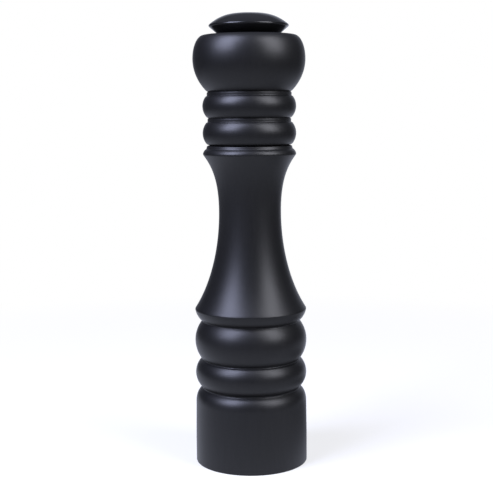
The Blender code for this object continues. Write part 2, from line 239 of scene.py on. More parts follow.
def relief(material, shader, *layers):
    """Bump from one or more (pattern, height in millimetres) layers, one on top of another."""
    nodes, links = material.node_tree.nodes, material.node_tree.links
    normal = None
    for pattern, height in layers:
        bump = nodes.new("ShaderNodeBump")
        bump.inputs["Strength"].default_value = 1.0
        bump.inputs["Distance"].default_value = height * MM
        links.new(pattern, bump.inputs["Height"])
        if normal is not None:
            links.new(normal, bump.inputs["Normal"])
        normal = bump.outputs["Normal"]
    links.new(normal, shader.inputs["Normal"])


def lacquer(name, colour, roughness):
    """Black lacquer over sanded beech. The grain hardly telegraphs through it: long shallow
    streaks up the wood, faint rings from the lathe, and the fine peel of a sprayed coat."""
    material, shader, place = new_finish(name, colour, roughness)
    shader.inputs["IOR"].default_value = 1.5
    nodes, links = material.node_tree.nodes, material.node_tree.links
    grain = mottle(material, place, 900.0, (1.0, 1.0, 0.07))
    peel = mottle(material, place, 700.0, detail=1.0)
    cloud = mottle(material, place, 45.0, (1.0, 1.0, 0.5))
    rings = nodes.new("ShaderNodeTexWave")
    rings.bands_direction = "Z"
    rings.inputs["Scale"].default_value = 320.0
    rings.inputs["Distortion"].default_value = 1.2
    rings.inputs["Detail"].default_value = 2.0
    links.new(place, rings.inputs["Vector"])
    dark = tuple(0.82 * part for part in colour)
    light = tuple(1.25 * part for part in colour)
    tint(material, shader, grain, ((0.3, dark), (0.5, colour), (0.72, light)))
    vary(material, shader.inputs["Roughness"], cloud, roughness - 0.02, roughness + 0.03)
    relief(material, shader, (peel, 0.003), (grain, 0.004), (rings.outputs["Fac"], 0.0008))
    return material


def bare_beech():
    """Unfinished beech: pale and pinkish, with rays as short dark flecks along the grain."""
    material, shader, place = new_finish("bare beech", (0.56, 0.37, 0.22), 0.68)
    fleck = mottle(material, place, 1500.0, (1.0, 1.0, 0.10))
    rings = mottle(material, place, 160.0, (1.0, 0.35, 0.03))
    pale, mid, deep = (0.64, 0.44, 0.28), (0.55, 0.36, 0.21), (0.40, 0.24, 0.13)
    tint(material, shader, rings, ((0.32, pale), (0.55, mid), (0.75, deep)))
    vary(material, shader.inputs["Roughness"], fleck, 0.58, 0.80)
    relief(material, shader, (fleck, 0.03), (rings, 0.03))
    return material


satin_lacquer = lacquer("satin black lacquer", (0.004, 0.004, 0.0045), 0.40)
beech = bare_beech()


def coat(piece, outside, inside, is_inside):
    """Lacquer the outside of a turned piece and leave the faces cut after spraying bare."""
    piece.data.materials.clear()
    piece.data.materials.append(outside)
    piece.data.materials.append(inside)
    for face in piece.data.polygons:
        x, y, z = face.center / MM
        face.material_index = int(is_inside(math.hypot(x, y), z))


top_land = [(23.2, BODY_TOP), (23.9, BODY_TOP - 0.3), (24.2, 179.7)]
upper_collar = curve((24.3, 179.5), (25.2, 179.0), (26.0, 178.0), UPPER_COLLAR, 12)
throat = curve((26.1, 176.2), (22.6, 171.3), (WAIST[0], 164.0), WAIST, 40)
flare = curve(WAIST, (WAIST[0], 120.5), (23.9, 101.0), (31.6, 89.0), 44)[1:]
lower_collar = [LOWER_COLLAR] + curve((31.6, 88.0), (31.2, 86.0), (30.0, 84.0), (28.7, 82.8), 12)
groove_one = [(27.8, 82.3), (27.8, 81.7)]
large_bead = bead(31.85, 70.7, 17.0, 81.1, 60.6, 36)
groove_two = [(28.0, 60.1), (28.0, 59.5)]
small_bead = bead(31.75, 51.8, 10.6, 59.0, 44.1, 30)
groove_three = [(28.0, 43.5), (28.0, 42.9)]
shoulder = curve((28.7, 42.3), (30.4, 41.0), (31.7, 38.6), (31.75, 35.0), 20)
foot = [(FOOT_RADIUS, 16.0), (FOOT_RADIUS, 0.0)]
outline = top_land + upper_collar + throat + flare + lower_collar + groove_one + large_bead
outline += groove_two + small_bead + groove_three + shoulder + foot
level = 0.0
for radius, ceiling in RECESS:
    outline += [(radius, level), (radius, ceiling)]
    level = ceiling
outline += [(CHAMBER_RADIUS, level), (CHAMBER_RADIUS, BODY_TOP)]
body = lathe("body", eased(outline, WOOD_EASE), WOOD_FACETS)
for spot in around(PLATE_SCREW_CIRCLE):
    drill(body, PILOT_RADIUS, spot, RECESS[0][1] - PAST, PLATE_PILOT_TOP)
chamber_wall = CHAMBER_RADIUS + 0.3
recess_wall, recess_end = RECESS[0][0] + 0.1, RECESS[-1][1] + 1.0
coat(
    body, satin_lacquer, beech, lambda r, z: r < chamber_wall or (r < recess_wall and z < recess_end)
)
smooth(body)
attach(body, "body")
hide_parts("body")

# ---------------------------------------------------------------- burr ring
# The fixed half of the grinder, pressed from sintered steel and hardened. Its tapered bore has
# fine slanted teeth all the way, and six coarse flutes at the mouth that draw the pepper in.
# Its flange sits against the step in the base, under the feet of the bridge.

METAL_FACETS = 96
TEETH = 36
TOOTH_DEPTH = 0.8
TOOTH_TWIST = math.radians(24)
FLUTES = 6


def dress(piece, material, crease=38):
    """Give a piece one material all over, and shade it."""
    piece.data.materials.clear()
    piece.data.materials.append(material)
    smooth(piece, crease)


def metal(name, colour, roughness, grain=1400.0, stretch=(1.0, 1.0, 1.0), height=0.004):
    """Bare or plated metal with the marks of how it was made: grain is their fineness and
    stretch their direction."""
    material, shader, place = new_finish(name, colour, roughness, 1.0)
    marks = mottle(material, place, grain, stretch)
    cloud = mottle(material, place, 120.0)
    dull = tuple(0.80 * part for part in colour)
    bright = tuple(min(1.0, 1.12 * part) for part in colour)
    tint(material, shader, cloud, ((0.3, dull), (0.5, colour), (0.7, bright)))
    vary(material, shader.inputs["Roughness"], marks, roughness - 0.07, roughness + 0.10)
    relief(material, shader, (marks, height))
    return material


def toothed_cone(name, levels, depth, twist):
    """A cone of saw-shaped teeth, grown upwards level by level and turned as it grows.
    levels are (height, radius at the teeth's tips) and depth is how far they are cut in."""
    bpy.ops.object.select_all(action="DESELECT")
    height, radius = levels[0]
    bpy.ops.mesh.primitive_circle_add(
        vertices=4 * TEETH, radius=radius * MM, fill_type="NGON", location=(0, 0, height * MM)
    )
    cone = bpy.context.object
    cone.name = name
    bpy.ops.object.transform_apply()
    for number, corner in enumerate(cone.data.vertices):
        share = 1.0 - depth / radius * (0.0, 1.0, 0.66, 0.33)[number % 4]
        corner.co.x *= share
        corner.co.y *= share
    bpy.ops.object.mode_set(mode="EDIT")
    bpy.ops.mesh.select_all(action="SELECT")
    span = levels[-1][0] - height
    for next_height, next_radius in levels[1:]:
        rise = (0.0, 0.0, (next_height - height) * MM)
        bpy.ops.mesh.extrude_region_move(TRANSFORM_OT_translate={"value": rise})
        grow = next_radius / radius
        bpy.ops.transform.resize(value=(grow, grow, 1.0), center_override=(0, 0, 0))
        turn = twist * (next_height - height) / span
        bpy.ops.transform.rotate(value=turn, orient_axis="Z", center_override=(0, 0, 0))
        height, radius = next_height, next_radius
    bpy.ops.mesh.select_all(action="SELECT")
    bpy.ops.mesh.normals_make_consistent(inside=False)
    bpy.ops.object.mode_set(mode="OBJECT")
    return cone


def between(levels, count):
    """The same levels with count steps in each stretch, so that twisted teeth stay smooth."""
    result = [levels[0]]
    for here, there in zip(levels, levels[1:]):
        for step in range(1, count + 1):
            result.append(tuple(Vector(here).lerp(Vector(there), step / count)))
    return result


def flute(piece, radius, distance, height, length, lean, slant):
    """Coarse grooves round a burr: lean follows the cone's side and slant feeds downwards."""
    middle = (distance * MM, 0.0, height * MM)
    for number in range(FLUTES):
        bpy.ops.mesh.primitive_cylinder_add(
            vertices=20, radius=radius * MM, depth=length * MM, location=middle
        )
        cutter = bpy.context.object
        bpy.ops.object.mode_set(mode="EDIT")
        bpy.ops.transform.rotate(value=lean, orient_axis="Y", center_override=middle)
        bpy.ops.transform.rotate(value=slant, orient_axis="X", center_override=middle)
        turn = math.tau * number / FLUTES
        bpy.ops.transform.rotate(value=turn, orient_axis="Z", center_override=(0, 0, 0))
        bpy.ops.object.mode_set(mode="OBJECT")
        cut(piece, cutter)


burr_steel = metal("sintered burr steel", (0.17, 0.17, 0.175), 0.42, grain=3200.0, height=0.012)
outline = [(9.0, 16.5), (15.6, 16.5), (15.6, 6.7), (20.2, 6.7), (20.2, 3.7), (9.0, 3.7)]
stator = lathe("stator", eased(outline, 0.25), METAL_FACETS)
hollow = [(2.7, 15.9), (3.7, 15.7), (8.0, 13.7), (16.5, 12.7), (17.5, 12.7)]
cut(stator, toothed_cone("stator teeth", between(hollow, 4), TOOTH_DEPTH, -TOOTH_TWIST))
flute(
    stator, radius=1.5, distance=12.9, height=15.2, length=9.0,
    lean=math.radians(6), slant=math.radians(24),
)
dress(stator, burr_steel, 30)
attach(stator, "body")
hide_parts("stator")

# ---------------------------------------------------------------- cone burr
# The turning half of the grinder, on the square of the shaft. It widens downwards, so drawing
# the shaft up with the knob closes the gap. Fine slanted teeth crush against the ring, and six
# auger flutes round its nose carry the pepper down to them.

SQUARE_FIT = 5.7  # side of a hole that takes the 5.5 mm shaft


def square_hole(piece, bottom, top):
    """A hole the shape of the shaft, so that the piece turns with it."""
    middle = (0.0, 0.0, (bottom + top) / 2 * MM)
    bpy.ops.mesh.primitive_cube_add(size=SQUARE_FIT * MM, location=middle)
    cutter = bpy.context.object
    bpy.ops.object.mode_set(mode="EDIT")
    stretch = (top - bottom) / SQUARE_FIT
    bpy.ops.transform.resize(value=(1.0, 1.0, stretch), center_override=middle)
    bpy.ops.object.mode_set(mode="OBJECT")
    cut(piece, cutter)


cone = [(5.0, 13.8), (8.0, 12.4), (11.0, 10.0), (14.0, 7.2)]
rotor = toothed_cone("rotor", between(cone, 4), TOOTH_DEPTH, TOOTH_TWIST)
flute(
    rotor, radius=1.7, distance=9.9, height=12.6, length=9.0,
    lean=-math.radians(40), slant=-math.radians(30),
)
square_hole(rotor, 4.0, 15.0)
dress(rotor, burr_steel, 30)
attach(rotor, "shaft")
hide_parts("rotor")

# ---------------------------------------------------------------- bridge
# The strap across the top of the burrs, pressed from 1.2 mm zinc-plated steel: two feet on the
# ring's flange, two legs, and a round eye in the middle that holds the bushing.

STRAP = 1.2
STRAP_HALF_WIDTH = 4.5
STRAP_UNDERSIDE = 26.0
STRAP_LEG = 17.2
STRAP_FOOT = (19.7, 7.0)
CROWN_BEND = 2.0  # radius outside the bend
FOOT_BEND = 0.4
EYE_RADIUS = 8.6
BUSHING_SEAT = 5.4

zinc = metal("bright zinc plate", (0.58, 0.59, 0.60), 0.30, grain=900.0)


def bend(centre, radius, first, last, cuts=6):
    """Points round a bend in sheet metal, in the X and Z of the strap."""
    angles = [math.radians(first + (last - first) * step / cuts) for step in range(cuts + 1)]
    return [(centre[0] + radius * math.cos(a), centre[1] + radius * math.sin(a)) for a in angles]


crown = STRAP_UNDERSIDE + STRAP
sole = STRAP_FOOT[1] + STRAP
half = [(STRAP_FOOT[0], sole)]
half += bend((STRAP_LEG + FOOT_BEND, sole + FOOT_BEND), FOOT_BEND, 270, 180, 4)
half += bend((STRAP_LEG - CROWN_BEND, crown - CROWN_BEND), CROWN_BEND, 0, 90)
run = half + [(-x, z) for x, z in reversed(half)]
bpy.ops.object.select_all(action="DESELECT")
bpy.ops.mesh.primitive_plane_add(size=MM)
bpy.ops.object.mode_set(mode="EDIT")
bpy.ops.mesh.merge(type="CENTER")
bpy.ops.transform.translate(value=(run[0][0] * MM, -STRAP_HALF_WIDTH * MM, run[0][1] * MM))
bpy.ops.mesh.extrude_region_move(TRANSFORM_OT_translate={"value": (0, 2 * STRAP_HALF_WIDTH * MM, 0)})
bpy.ops.mesh.select_all(action="SELECT")
for (x, z), (next_x, next_z) in zip(run, run[1:]):
    stroke = ((next_x - x) * MM, 0.0, (next_z - z) * MM)
    bpy.ops.mesh.extrude_region_move(TRANSFORM_OT_translate={"value": stroke})
bpy.ops.object.mode_set(mode="OBJECT")
bridge = bpy.context.object
bridge.name = "bridge"
sheet = bridge.modifiers.new("sheet", "SOLIDIFY")
sheet.thickness = STRAP * MM
sheet.use_even_offset = True
sheet.offset = -1.0 if bridge.data.polygons[len(bridge.data.polygons) // 2].normal.z > 0 else 1.0
bpy.ops.object.modifier_apply(modifier=sheet.name)
bpy.ops.object.mode_set(mode="EDIT")
bpy.ops.mesh.select_all(action="SELECT")
bpy.ops.mesh.normals_make_consistent(inside=False)
bpy.ops.object.mode_set(mode="OBJECT")
sheared_edge = bridge.modifiers.new("sheared edge", "BEVEL")
sheared_edge.width = 0.15 * MM
sheared_edge.segments = 2
sheared_edge.limit_method = "ANGLE"
sheared_edge.angle_limit = math.radians(50)
bpy.ops.object.modifier_apply(modifier=sheared_edge.name)
eye = [(0.0, crown), (EYE_RADIUS, crown), (EYE_RADIUS, STRAP_UNDERSIDE), (0.0, STRAP_UNDERSIDE)]
cut(bridge, lathe("eye", eased(eye, 0.15, closed=False), 64), "UNION")
drill(bridge, BUSHING_SEAT, (0.0, 0.0), STRAP_UNDERSIDE - PAST, crown + PAST)
dress(bridge, zinc)
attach(bridge, "body")
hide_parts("bridge")

# ---------------------------------------------------------------- bushing
# A flanged acetal sleeve that snaps into the eye of the bridge, so that the steel shaft does
# not run on the steel strap. Injection moulded, with its edges rounded by the mould.

material, shader, place = new_finish("natural acetal", (0.80, 0.79, 0.74), 0.42)
haze = mottle(material, place, 260.0)
vary(material, shader.inputs["Roughness"], haze, 0.36, 0.50)
tint(material, shader, haze, ((0.3, (0.76, 0.75, 0.69)), (0.7, (0.83, 0.82, 0.78))))
relief(material, shader, (mottle(material, place, 2200.0), 0.004))
shader.inputs["Subsurface Weight"].default_value = 0.15
shader.inputs["Subsurface Radius"].default_value = (0.002, 0.002, 0.0016)
acetal = material

SLEEVE_FLANGE = (7.6, 1.2)  # radius and thickness
SLEEVE_RADIUS = 5.2
SLEEVE_BORE = 4.2


def extent(node):
    """The bottom, top and radius of a round node, in millimetres."""
    low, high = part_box(node)
    return low.z / MM, high.z / MM, high.x / MM


barrel_foot, top, _ = extent("bridge_bushing")
flange, flange_foot = SLEEVE_FLANGE[0], top - SLEEVE_FLANGE[1]
outline = [(flange, top), (flange, flange_foot), (SLEEVE_RADIUS, flange_foot)]
outline += [(SLEEVE_RADIUS, barrel_foot), (SLEEVE_BORE, barrel_foot), (SLEEVE_BORE, top)]
bushing = lathe("bridge_bushing", eased(outline, 0.25), METAL_FACETS)
dress(bushing, acetal)
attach(bushing, "body")
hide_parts("bridge_bushing")

# ---------------------------------------------------------------- thrust washer
# A stamped steel disc under the bridge with a square hole for the shaft. It turns with the
# shaft and takes the push of the spring.

def keyed_disc(node, reach):
    """A stamped disc as large as its node, with a square hole and its edges eased by reach."""
    bottom, top, outer = extent(node)
    outline = [(0.0, top), (outer, top), (outer, bottom), (0.0, bottom)]
    disc = lathe(node, eased(outline, reach, closed=False), METAL_FACETS)
    square_hole(disc, bottom - PAST, top + PAST)
    return disc


thrust_washer = keyed_disc("thrust_washer", 0.18)
dress(thrust_washer, zinc)
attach(thrust_washer, "thrust_washer")
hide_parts("thrust_washer")

# ---------------------------------------------------------------- spring
# A compression spring of 0.9 mm wire round the shaft, between the thrust washer and the cone
# burr. Its end coils lie closed, one against the next, so that it stands square.

WIRE = 0.45
COIL_RADIUS = 5.3
DEAD_TURNS = 1.0
LIVE_TURNS = 4.0
STEPS_A_TURN = 28

spring_steel = metal("drawn spring steel", (0.40, 0.41, 0.43), 0.28, grain=2600.0)
bottom, top, _ = extent("spring")
foot_height, head_height = bottom + WIRE, top - WIRE
dead_rise = 2 * WIRE * DEAD_TURNS
live_rise = head_height - foot_height - 2 * dead_rise
turns = LIVE_TURNS + 2 * DEAD_TURNS


def coil_height(turn):
    """Height of the wire after so many turns: flat pitch, open pitch, flat pitch."""
    if turn < DEAD_TURNS:
        return foot_height + dead_rise * turn / DEAD_TURNS
    if turn < DEAD_TURNS + LIVE_TURNS:
        return foot_height + dead_rise + live_rise * (turn - DEAD_TURNS) / LIVE_TURNS
    return head_height - dead_rise * (turns - turn) / DEAD_TURNS


wire = bpy.data.curves.new("spring", "CURVE")
wire.dimensions = "3D"
wire.bevel_depth = WIRE * MM
wire.bevel_resolution = 3
wire.use_fill_caps = True
strand = wire.splines.new("POLY")
steps = int(turns * STEPS_A_TURN)
strand.points.add(steps)
for step, point in enumerate(strand.points):
    turn = step / STEPS_A_TURN
    angle = math.tau * turn
    x, y = COIL_RADIUS * math.cos(angle), COIL_RADIUS * math.sin(angle)
    point.co = (x * MM, y * MM, coil_height(turn) * MM, 1.0)
spring = bpy.data.objects.new("spring", wire)
bpy.context.scene.collection.objects.link(spring)
bpy.ops.object.select_all(action="DESELECT")
spring.select_set(True)
bpy.context.view_layer.objects.active = spring
bpy.ops.object.convert(target="MESH")
spring = bpy.context.object
bpy.ops.object.mode_set(mode="EDIT")
bpy.ops.mesh.select_all(action="SELECT")
bpy.ops.mesh.remove_doubles(threshold=WELD)
bpy.ops.mesh.normals_make_consistent(inside=False)
bpy.ops.object.mode_set(mode="OBJECT")
dress(spring, spring_steel, 60)
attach(spring, "thrust_washer")
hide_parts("spring")

# ---------------------------------------------------------------- shaft
# A drawn aluminium bar, 5.5 mm square, from the cone burr up through the chamber and the head.
# Its top is turned down and threaded M5 for the knob, and its foot is a plain journal with a
# groove for the push nut.

SHAFT_SIDE = 5.5
SHAFT_FOOT = 5.3
SHAFT_SHOULDER = 238.0
THREAD_RADIUS = 2.5
THREAD_PITCH = 0.8
JOURNAL_RADIUS = 2.0


def shank(tip, radius, start, end, foot):
    """Outline of a rod to be threaded: a tip, close rings, and a plain foot."""
    rings = int(abs(start - end) / 0.08)
    return [(0.0, tip)] + [
        (radius, start + (end - start) * ring / rings) for ring in range(rings + 1)
    ] + [(radius, foot), (0.0, foot)]


def thread(piece, radius, depth, pitch, low, high):
    """Press a helix into a round rod between two heights, by moving its points inwards. Over
    the last turn at either end it fades out."""
    for point in piece.data.vertices:
        x, y, z = point.co / MM
        across = math.hypot(x, y)
        if not low <= z <= high or across < radius * 0.5:
            continue
        phase = (z / pitch - math.atan2(y, x) / math.tau) % 1.0
        groove = 1.0 - abs(2.0 * phase - 1.0)
        ends = min(1.0, (z - low) / pitch, (high - z) / pitch)
        share = 1.0 - depth * min(1.0, 1.25 * groove) * max(0.0, ends) / radius
        point.co.x *= share
        point.co.y *= share


aluminium = metal("drawn aluminium", (0.72, 0.73, 0.74), 0.26, grain=1800.0, stretch=(1.0, 1.0, 0.02))
journal_tip, tip, _ = extent("shaft")
middle = (0.0, 0.0, (SHAFT_FOOT + SHAFT_SHOULDER) / 2 * MM)
bpy.ops.object.select_all(action="DESELECT")
bpy.ops.mesh.primitive_cube_add(size=SHAFT_SIDE * MM, location=middle)
shaft = bpy.context.object
shaft.name = "shaft"
bpy.ops.object.transform_apply()
bpy.ops.object.mode_set(mode="EDIT")
bpy.ops.transform.resize(
    value=(1.0, 1.0, (SHAFT_SHOULDER - SHAFT_FOOT) / SHAFT_SIDE), center_override=middle
)
bpy.ops.mesh.bevel(offset=0.35 * MM, segments=4, affect="EDGES")
bpy.ops.object.mode_set(mode="OBJECT")
rod = shank(tip, THREAD_RADIUS, tip - 0.6, SHAFT_SHOULDER + 0.6, SHAFT_SHOULDER - 1.5)
rod[1:1] = [(THREAD_RADIUS - 0.6, tip)]
threaded_end = lathe("threaded end", rod, 32)
thread(threaded_end, THREAD_RADIUS, 0.42, THREAD_PITCH, SHAFT_SHOULDER + 0.8, tip - 0.5)
cut(shaft, threaded_end, "UNION")
root = SHAFT_FOOT + 1.5
journal = [(0.0, root), (JOURNAL_RADIUS, root), (JOURNAL_RADIUS, journal_tip), (0.0, journal_tip)]
cut(shaft, lathe("journal", eased(journal, 0.4, closed=False), 48), "UNION")
dress(shaft, aluminium, 30)
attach(shaft, "shaft")
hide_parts("shaft")

# ---------------------------------------------------------------- foot of the shaft
# A plain zinc-plated washer under the cone burr, and below it a push nut: a thin dished star of
# spring steel whose six tongues bite on the journal and keep burr, washer and spring in place.

TONGUES = 6


def flat_ring(node, bore, reach, facets=METAL_FACETS):
    """A flat ring as large as its node, with a round bore and its edges eased by reach."""
    bottom, top, outer = extent(node)
    outline = [(outer, top), (outer, bottom), (bore, bottom), (bore, top)]
    return lathe(node, eased(outline, reach), facets)


rotor_washer = flat_ring("rotor_washer", 2.2, 0.15, 64)
dress(rotor_washer, zinc)
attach(rotor_washer, "shaft")
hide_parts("rotor_washer")

bottom, top, outer = extent("push_nut")
gauge = 0.3
bite = 2.05  # radius of the tongues' tips
upper = curve((outer, bottom + gauge), (3.4, bottom + gauge), (2.8, top - 0.1), (bite, top), 10)
lower = curve((bite, top - gauge), (2.8, top - 0.1 - gauge), (3.4, bottom), (outer, bottom), 10)
push_nut = lathe("push_nut", eased(upper + lower, 0.08), 72)
here = (2.4 * MM, 0.0, (bottom + top) / 2 * MM)
for number in range(TONGUES):
    bpy.ops.mesh.primitive_cube_add(size=MM, location=here)
    slit = bpy.context.object
    bpy.ops.object.mode_set(mode="EDIT")
    bpy.ops.transform.resize(value=(1.7, 0.45, 3.0), center_override=here)
    turn = math.tau * number / TONGUES
    bpy.ops.transform.rotate(value=turn, orient_axis="Z", center_override=(0, 0, 0))
    bpy.ops.object.mode_set(mode="OBJECT")
    cut(push_nut, slit)
dress(push_nut, spring_steel)
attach(push_nut, "shaft")
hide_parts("push_nut")

# ---------------------------------------------------------------- retaining plate
# A flat steel ring, stamped and zinc plated, that closes the base round the burrs. Three
# plain holes take its screws, and its centre is open for the ground pepper.

def screw_holes(plate, node, circle):
    """Clearance holes for wood screws, right through a plate that stands for a node."""
    bottom, top, _ = extent(node)
    for spot in around(circle):
        drill(plate, 1.25, spot, bottom - PAST, top + PAST)


retaining_plate = flat_ring("retaining_plate", 16.0, 0.25, 120)
screw_holes(retaining_plate, "retaining_plate", PLATE_SCREW_CIRCLE)
dress(retaining_plate, zinc)
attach(retaining_plate, "body")
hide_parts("retaining_plate")

# ---------------------------------------------------------------- retaining screws
# Three small pan-head wood screws with a cross recess, driven up through the plate into pilot
# holes in the base. They are made once and copied.

SCREW_PITCH = 0.9
SCREW_CREST = 1.12
SCREW_ROOT_DEPTH = 0.36
PAN_HEIGHT = 1.0
GIMLET = 1.8  # length of the tapered point


def wood_screw(name, seat, pan_radius, length):
    """A pan-head screw that points up, with its thread, gimlet point and cross recess."""
    crown = seat - PAN_HEIGHT
    shoulder = (pan_radius, seat - 0.75)
    pan = curve((pan_radius, seat), shoulder, (pan_radius - 0.5, crown), (0.0, crown), 14)
    point = seat + length
    shank_top = point - GIMLET
    threaded = shank_top - seat - 0.3
    rings = int(threaded / 0.09)
    outline = [(0.0, point)]
    outline += [(SCREW_CREST, shank_top - threaded * ring / rings) for ring in range(rings + 1)]
    outline += [(0.9, seat + 0.2), (0.9, seat)] + pan
    screw = lathe(name, outline, 28)
    thread(screw, SCREW_CREST, SCREW_ROOT_DEPTH, SCREW_PITCH, seat + 0.9, point - 0.2)
    middle = (0.0, 0.0, crown * MM)
    for turn in (0.0, math.pi / 2):
        bpy.ops.mesh.primitive_cube_add(size=MM, location=middle)
        blade = bpy.context.object
        bpy.ops.object.mode_set(mode="EDIT")
        bpy.ops.transform.resize(value=(0.5, 2.3, 1.5), center_override=middle)
        bpy.ops.transform.rotate(value=turn, orient_axis="Z", center_override=middle)
        bpy.ops.object.mode_set(mode="OBJECT")
        for corner in blade.data.vertices:
            if corner.co.z > 0:
                corner.co.x *= 0.6
                corner.co.y *= 0.6
        cut(screw, blade)
    dress(screw, zinc, 32)
    return screw


def copy_to(master, name, spot):
    """A copy of a screw with a mesh of its own, moved to its hole."""
    bpy.ops.object.select_all(action="DESELECT")
    master.select_set(True)
    bpy.context.view_layer.objects.active = master
    bpy.ops.object.duplicate()
    made = bpy.context.object
    made.name = name
    bpy.ops.object.mode_set(mode="EDIT")
    bpy.ops.mesh.select_all(action="SELECT")
    bpy.ops.transform.translate(value=(spot[0] * MM, spot[1] * MM, 0.0))
    bpy.ops.object.mode_set(mode="OBJECT")
    return made


def screw_in(group, pan_radius, circle, holder):
    """Make one screw to the height of the group's nodes and copy it to each hole."""
    bottom, top, _ = extent(f"{group}_1")
    seat = bottom + PAN_HEIGHT
    master = wood_screw("first screw", seat, pan_radius, top - seat)
    for number, spot in enumerate(around(circle), 1):
        node = f"{group}_{number}"
        screw = copy_to(master, node, spot)
        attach(screw, holder)
        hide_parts(node)
    bpy.data.objects.remove(master)


screw_in("retaining_screw", 2.2, PLATE_SCREW_CIRCLE, "body")

# ---------------------------------------------------------------- head
# The upper turned piece: a flattened ball over two beads, in the same beech and satin lacquer.
# A spigot under it, left bare, centres it in the body's chamber, and the shaft runs up a hole
# through its middle.

HEAD_TOP = 242.1
BALL = (31.4, 229.2)
JOINT = 181.7
SPIGOT_RADIUS = 13.2
SPIGOT_END = 168.2
SHAFT_HOLE = 4.2
DRIVE_SCREW_CIRCLE = 8.2
DRIVE_PILOT_DEPTH = 9.6

ball_top = curve((25.7, HEAD_TOP), (28.4, HEAD_TOP - 0.3), (BALL[0], 236.8), BALL, 28)
ball_below = curve(BALL, (BALL[0], BALL[1] - 6.6), (28.6, 216.4), (23.9, 211.6), 30)[1:]
neck_one = [(23.0, 211.2), (23.7, 210.8), (23.7, 208.9)]
upper_bead = bead(26.2, 203.2, 9.0, 208.6, 197.0, 28)
neck_two = [(22.9, 196.6), (23.4, 196.2), (23.4, 194.4)]
lower_bead = bead(26.2, 188.2, 9.4, 194.1, 182.2, 28)
spigot = [(23.0, JOINT), (SPIGOT_RADIUS, JOINT), (SPIGOT_RADIUS, SPIGOT_END + 0.8)]
spigot += [(SPIGOT_RADIUS - 0.8, SPIGOT_END), (SHAFT_HOLE, SPIGOT_END), (SHAFT_HOLE, HEAD_TOP)]
outline = ball_top + ball_below + neck_one + upper_bead + neck_two + lower_bead + spigot
head = lathe("head", eased(outline, WOOD_EASE), WOOD_FACETS)
for spot in around(DRIVE_SCREW_CIRCLE):
    drill(head, PILOT_RADIUS, spot, SPIGOT_END - PAST, SPIGOT_END + DRIVE_PILOT_DEPTH)
hole_wall, spigot_wall, spigot_root = SHAFT_HOLE + 0.3, SPIGOT_RADIUS + 0.1, JOINT + 0.1
coat(
    head, satin_lacquer, beech, lambda r, z: r < hole_wall or (r < spigot_wall and z < spigot_root)
)
smooth(head)
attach(head, "head")
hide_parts("head")

# ---------------------------------------------------------------- drive plate
# A stamped steel disc screwed under the spigot. The square hole in it grips the shaft, so that
# turning the head turns the burr. Three pan-head wood screws hold it.

drive_plate = keyed_disc("drive_plate", 0.2)
screw_holes(drive_plate, "drive_plate", DRIVE_SCREW_CIRCLE)
dress(drive_plate, zinc)
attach(drive_plate, "head")
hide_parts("drive_plate")

screw_in("drive_plate_screw", 2.0, DRIVE_SCREW_CIRCLE, "head")

# ---------------------------------------------------------------- knob washer
# A thin acetal ring between the knob and the head, so that tightening the knob does not scuff
# the lacquer.

knob_washer = flat_ring("knob_washer", SHAFT_HOLE, 0.15)
dress(knob_washer, acetal)
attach(knob_washer, "knob")
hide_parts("knob_washer")

# ---------------------------------------------------------------- knob insert
# A turned brass nut with a flange and a knurled barrel, pressed up into the knob. Its blind
# M5 thread is what screws down on the shaft.

BARREL = 4.6
BORE = 2.75
INSERT_FLANGE = 1.1
BLIND_END = 1.0
KNURLS = 24
KNURL_DEPTH = 0.15

bottom, top, flange = extent("knob_insert")
flange_top, bore_end = bottom + INSERT_FLANGE, top - BLIND_END
outline = [(0.0, top), (BARREL, top), (BARREL, flange_top), (flange, flange_top)]
outline += [(flange, bottom), (BORE, bottom), (BORE, bore_end), (0.0, bore_end)]
knob_insert = lathe("knob_insert", eased(outline, 0.22, closed=False), METAL_FACETS)
for point in knob_insert.data.vertices:
    x, y, z = point.co / MM
    if abs(math.hypot(x, y) - BARREL) < 0.02 and flange_top + 0.2 < z < top:
        ridge = abs((math.atan2(y, x) / math.tau * KNURLS) % 1.0 - 0.5)
        share = 1.0 - 2.0 * KNURL_DEPTH * ridge / BARREL
        point.co.x *= share
        point.co.y *= share
turned_brass = metal("turned brass", (0.74, 0.54, 0.24), 0.24, grain=1200.0, stretch=(0.15, 0.15, 1.0))
dress(knob_insert, turned_brass, 30)
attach(knob_insert, "knob")
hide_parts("knob_insert")

# ---------------------------------------------------------------- knob
# The disc on top, turned from beech with a domed face and an undercut rim for the fingers, and
# lacquered glossier than the rest. The recess for the brass insert is bare.

HEIGHT = 254.0
KNOB_RIM = (22.75, 247.4)  # before it is rounded over
KNOB_EASE = 1.3
KNOB_FOOT_RADIUS = 16.8
KNOB_GAP = 0.3  # over the head
WASHER = 0.7
HEADROOM = 0.6  # over the insert's flange

knob_foot = HEAD_TOP + KNOB_GAP
insert_room = (9.3, knob_foot + WASHER + INSERT_FLANGE + HEADROOM)
barrel_room = (4.9, 251.3)
gloss_lacquer = lacquer("gloss black lacquer", (0.005, 0.005, 0.0055), 0.20)
outline = [(0.0, HEIGHT)] + curve((7.0, HEIGHT), (14.2, HEIGHT - 0.3), (19.0, 250.6), KNOB_RIM, 34)
outline += [(KNOB_FOOT_RADIUS, knob_foot), (insert_room[0], knob_foot)]
outline += [insert_room, (barrel_room[0], insert_room[1]), barrel_room, (0.0, barrel_room[1])]
knob = lathe("knob", eased(outline, KNOB_EASE, closed=False), WOOD_FACETS)
coat(knob, gloss_lacquer, beech, lambda r, z: r < insert_room[0] + 0.1 and z < barrel_room[1] + 0.1)
smooth(knob)
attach(knob, "knob")
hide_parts("knob")

# ---------------------------------------------------------------- floor and backdrop
# A floor of white paper. Near the mill it is lit, so that it takes the soft shadow, and further
# out it fades into even white. What shows in the lacquer is a lit table with the mill's shadow
# on its right, a backdrop behind, and a dim room round them. Distances here are in metres.

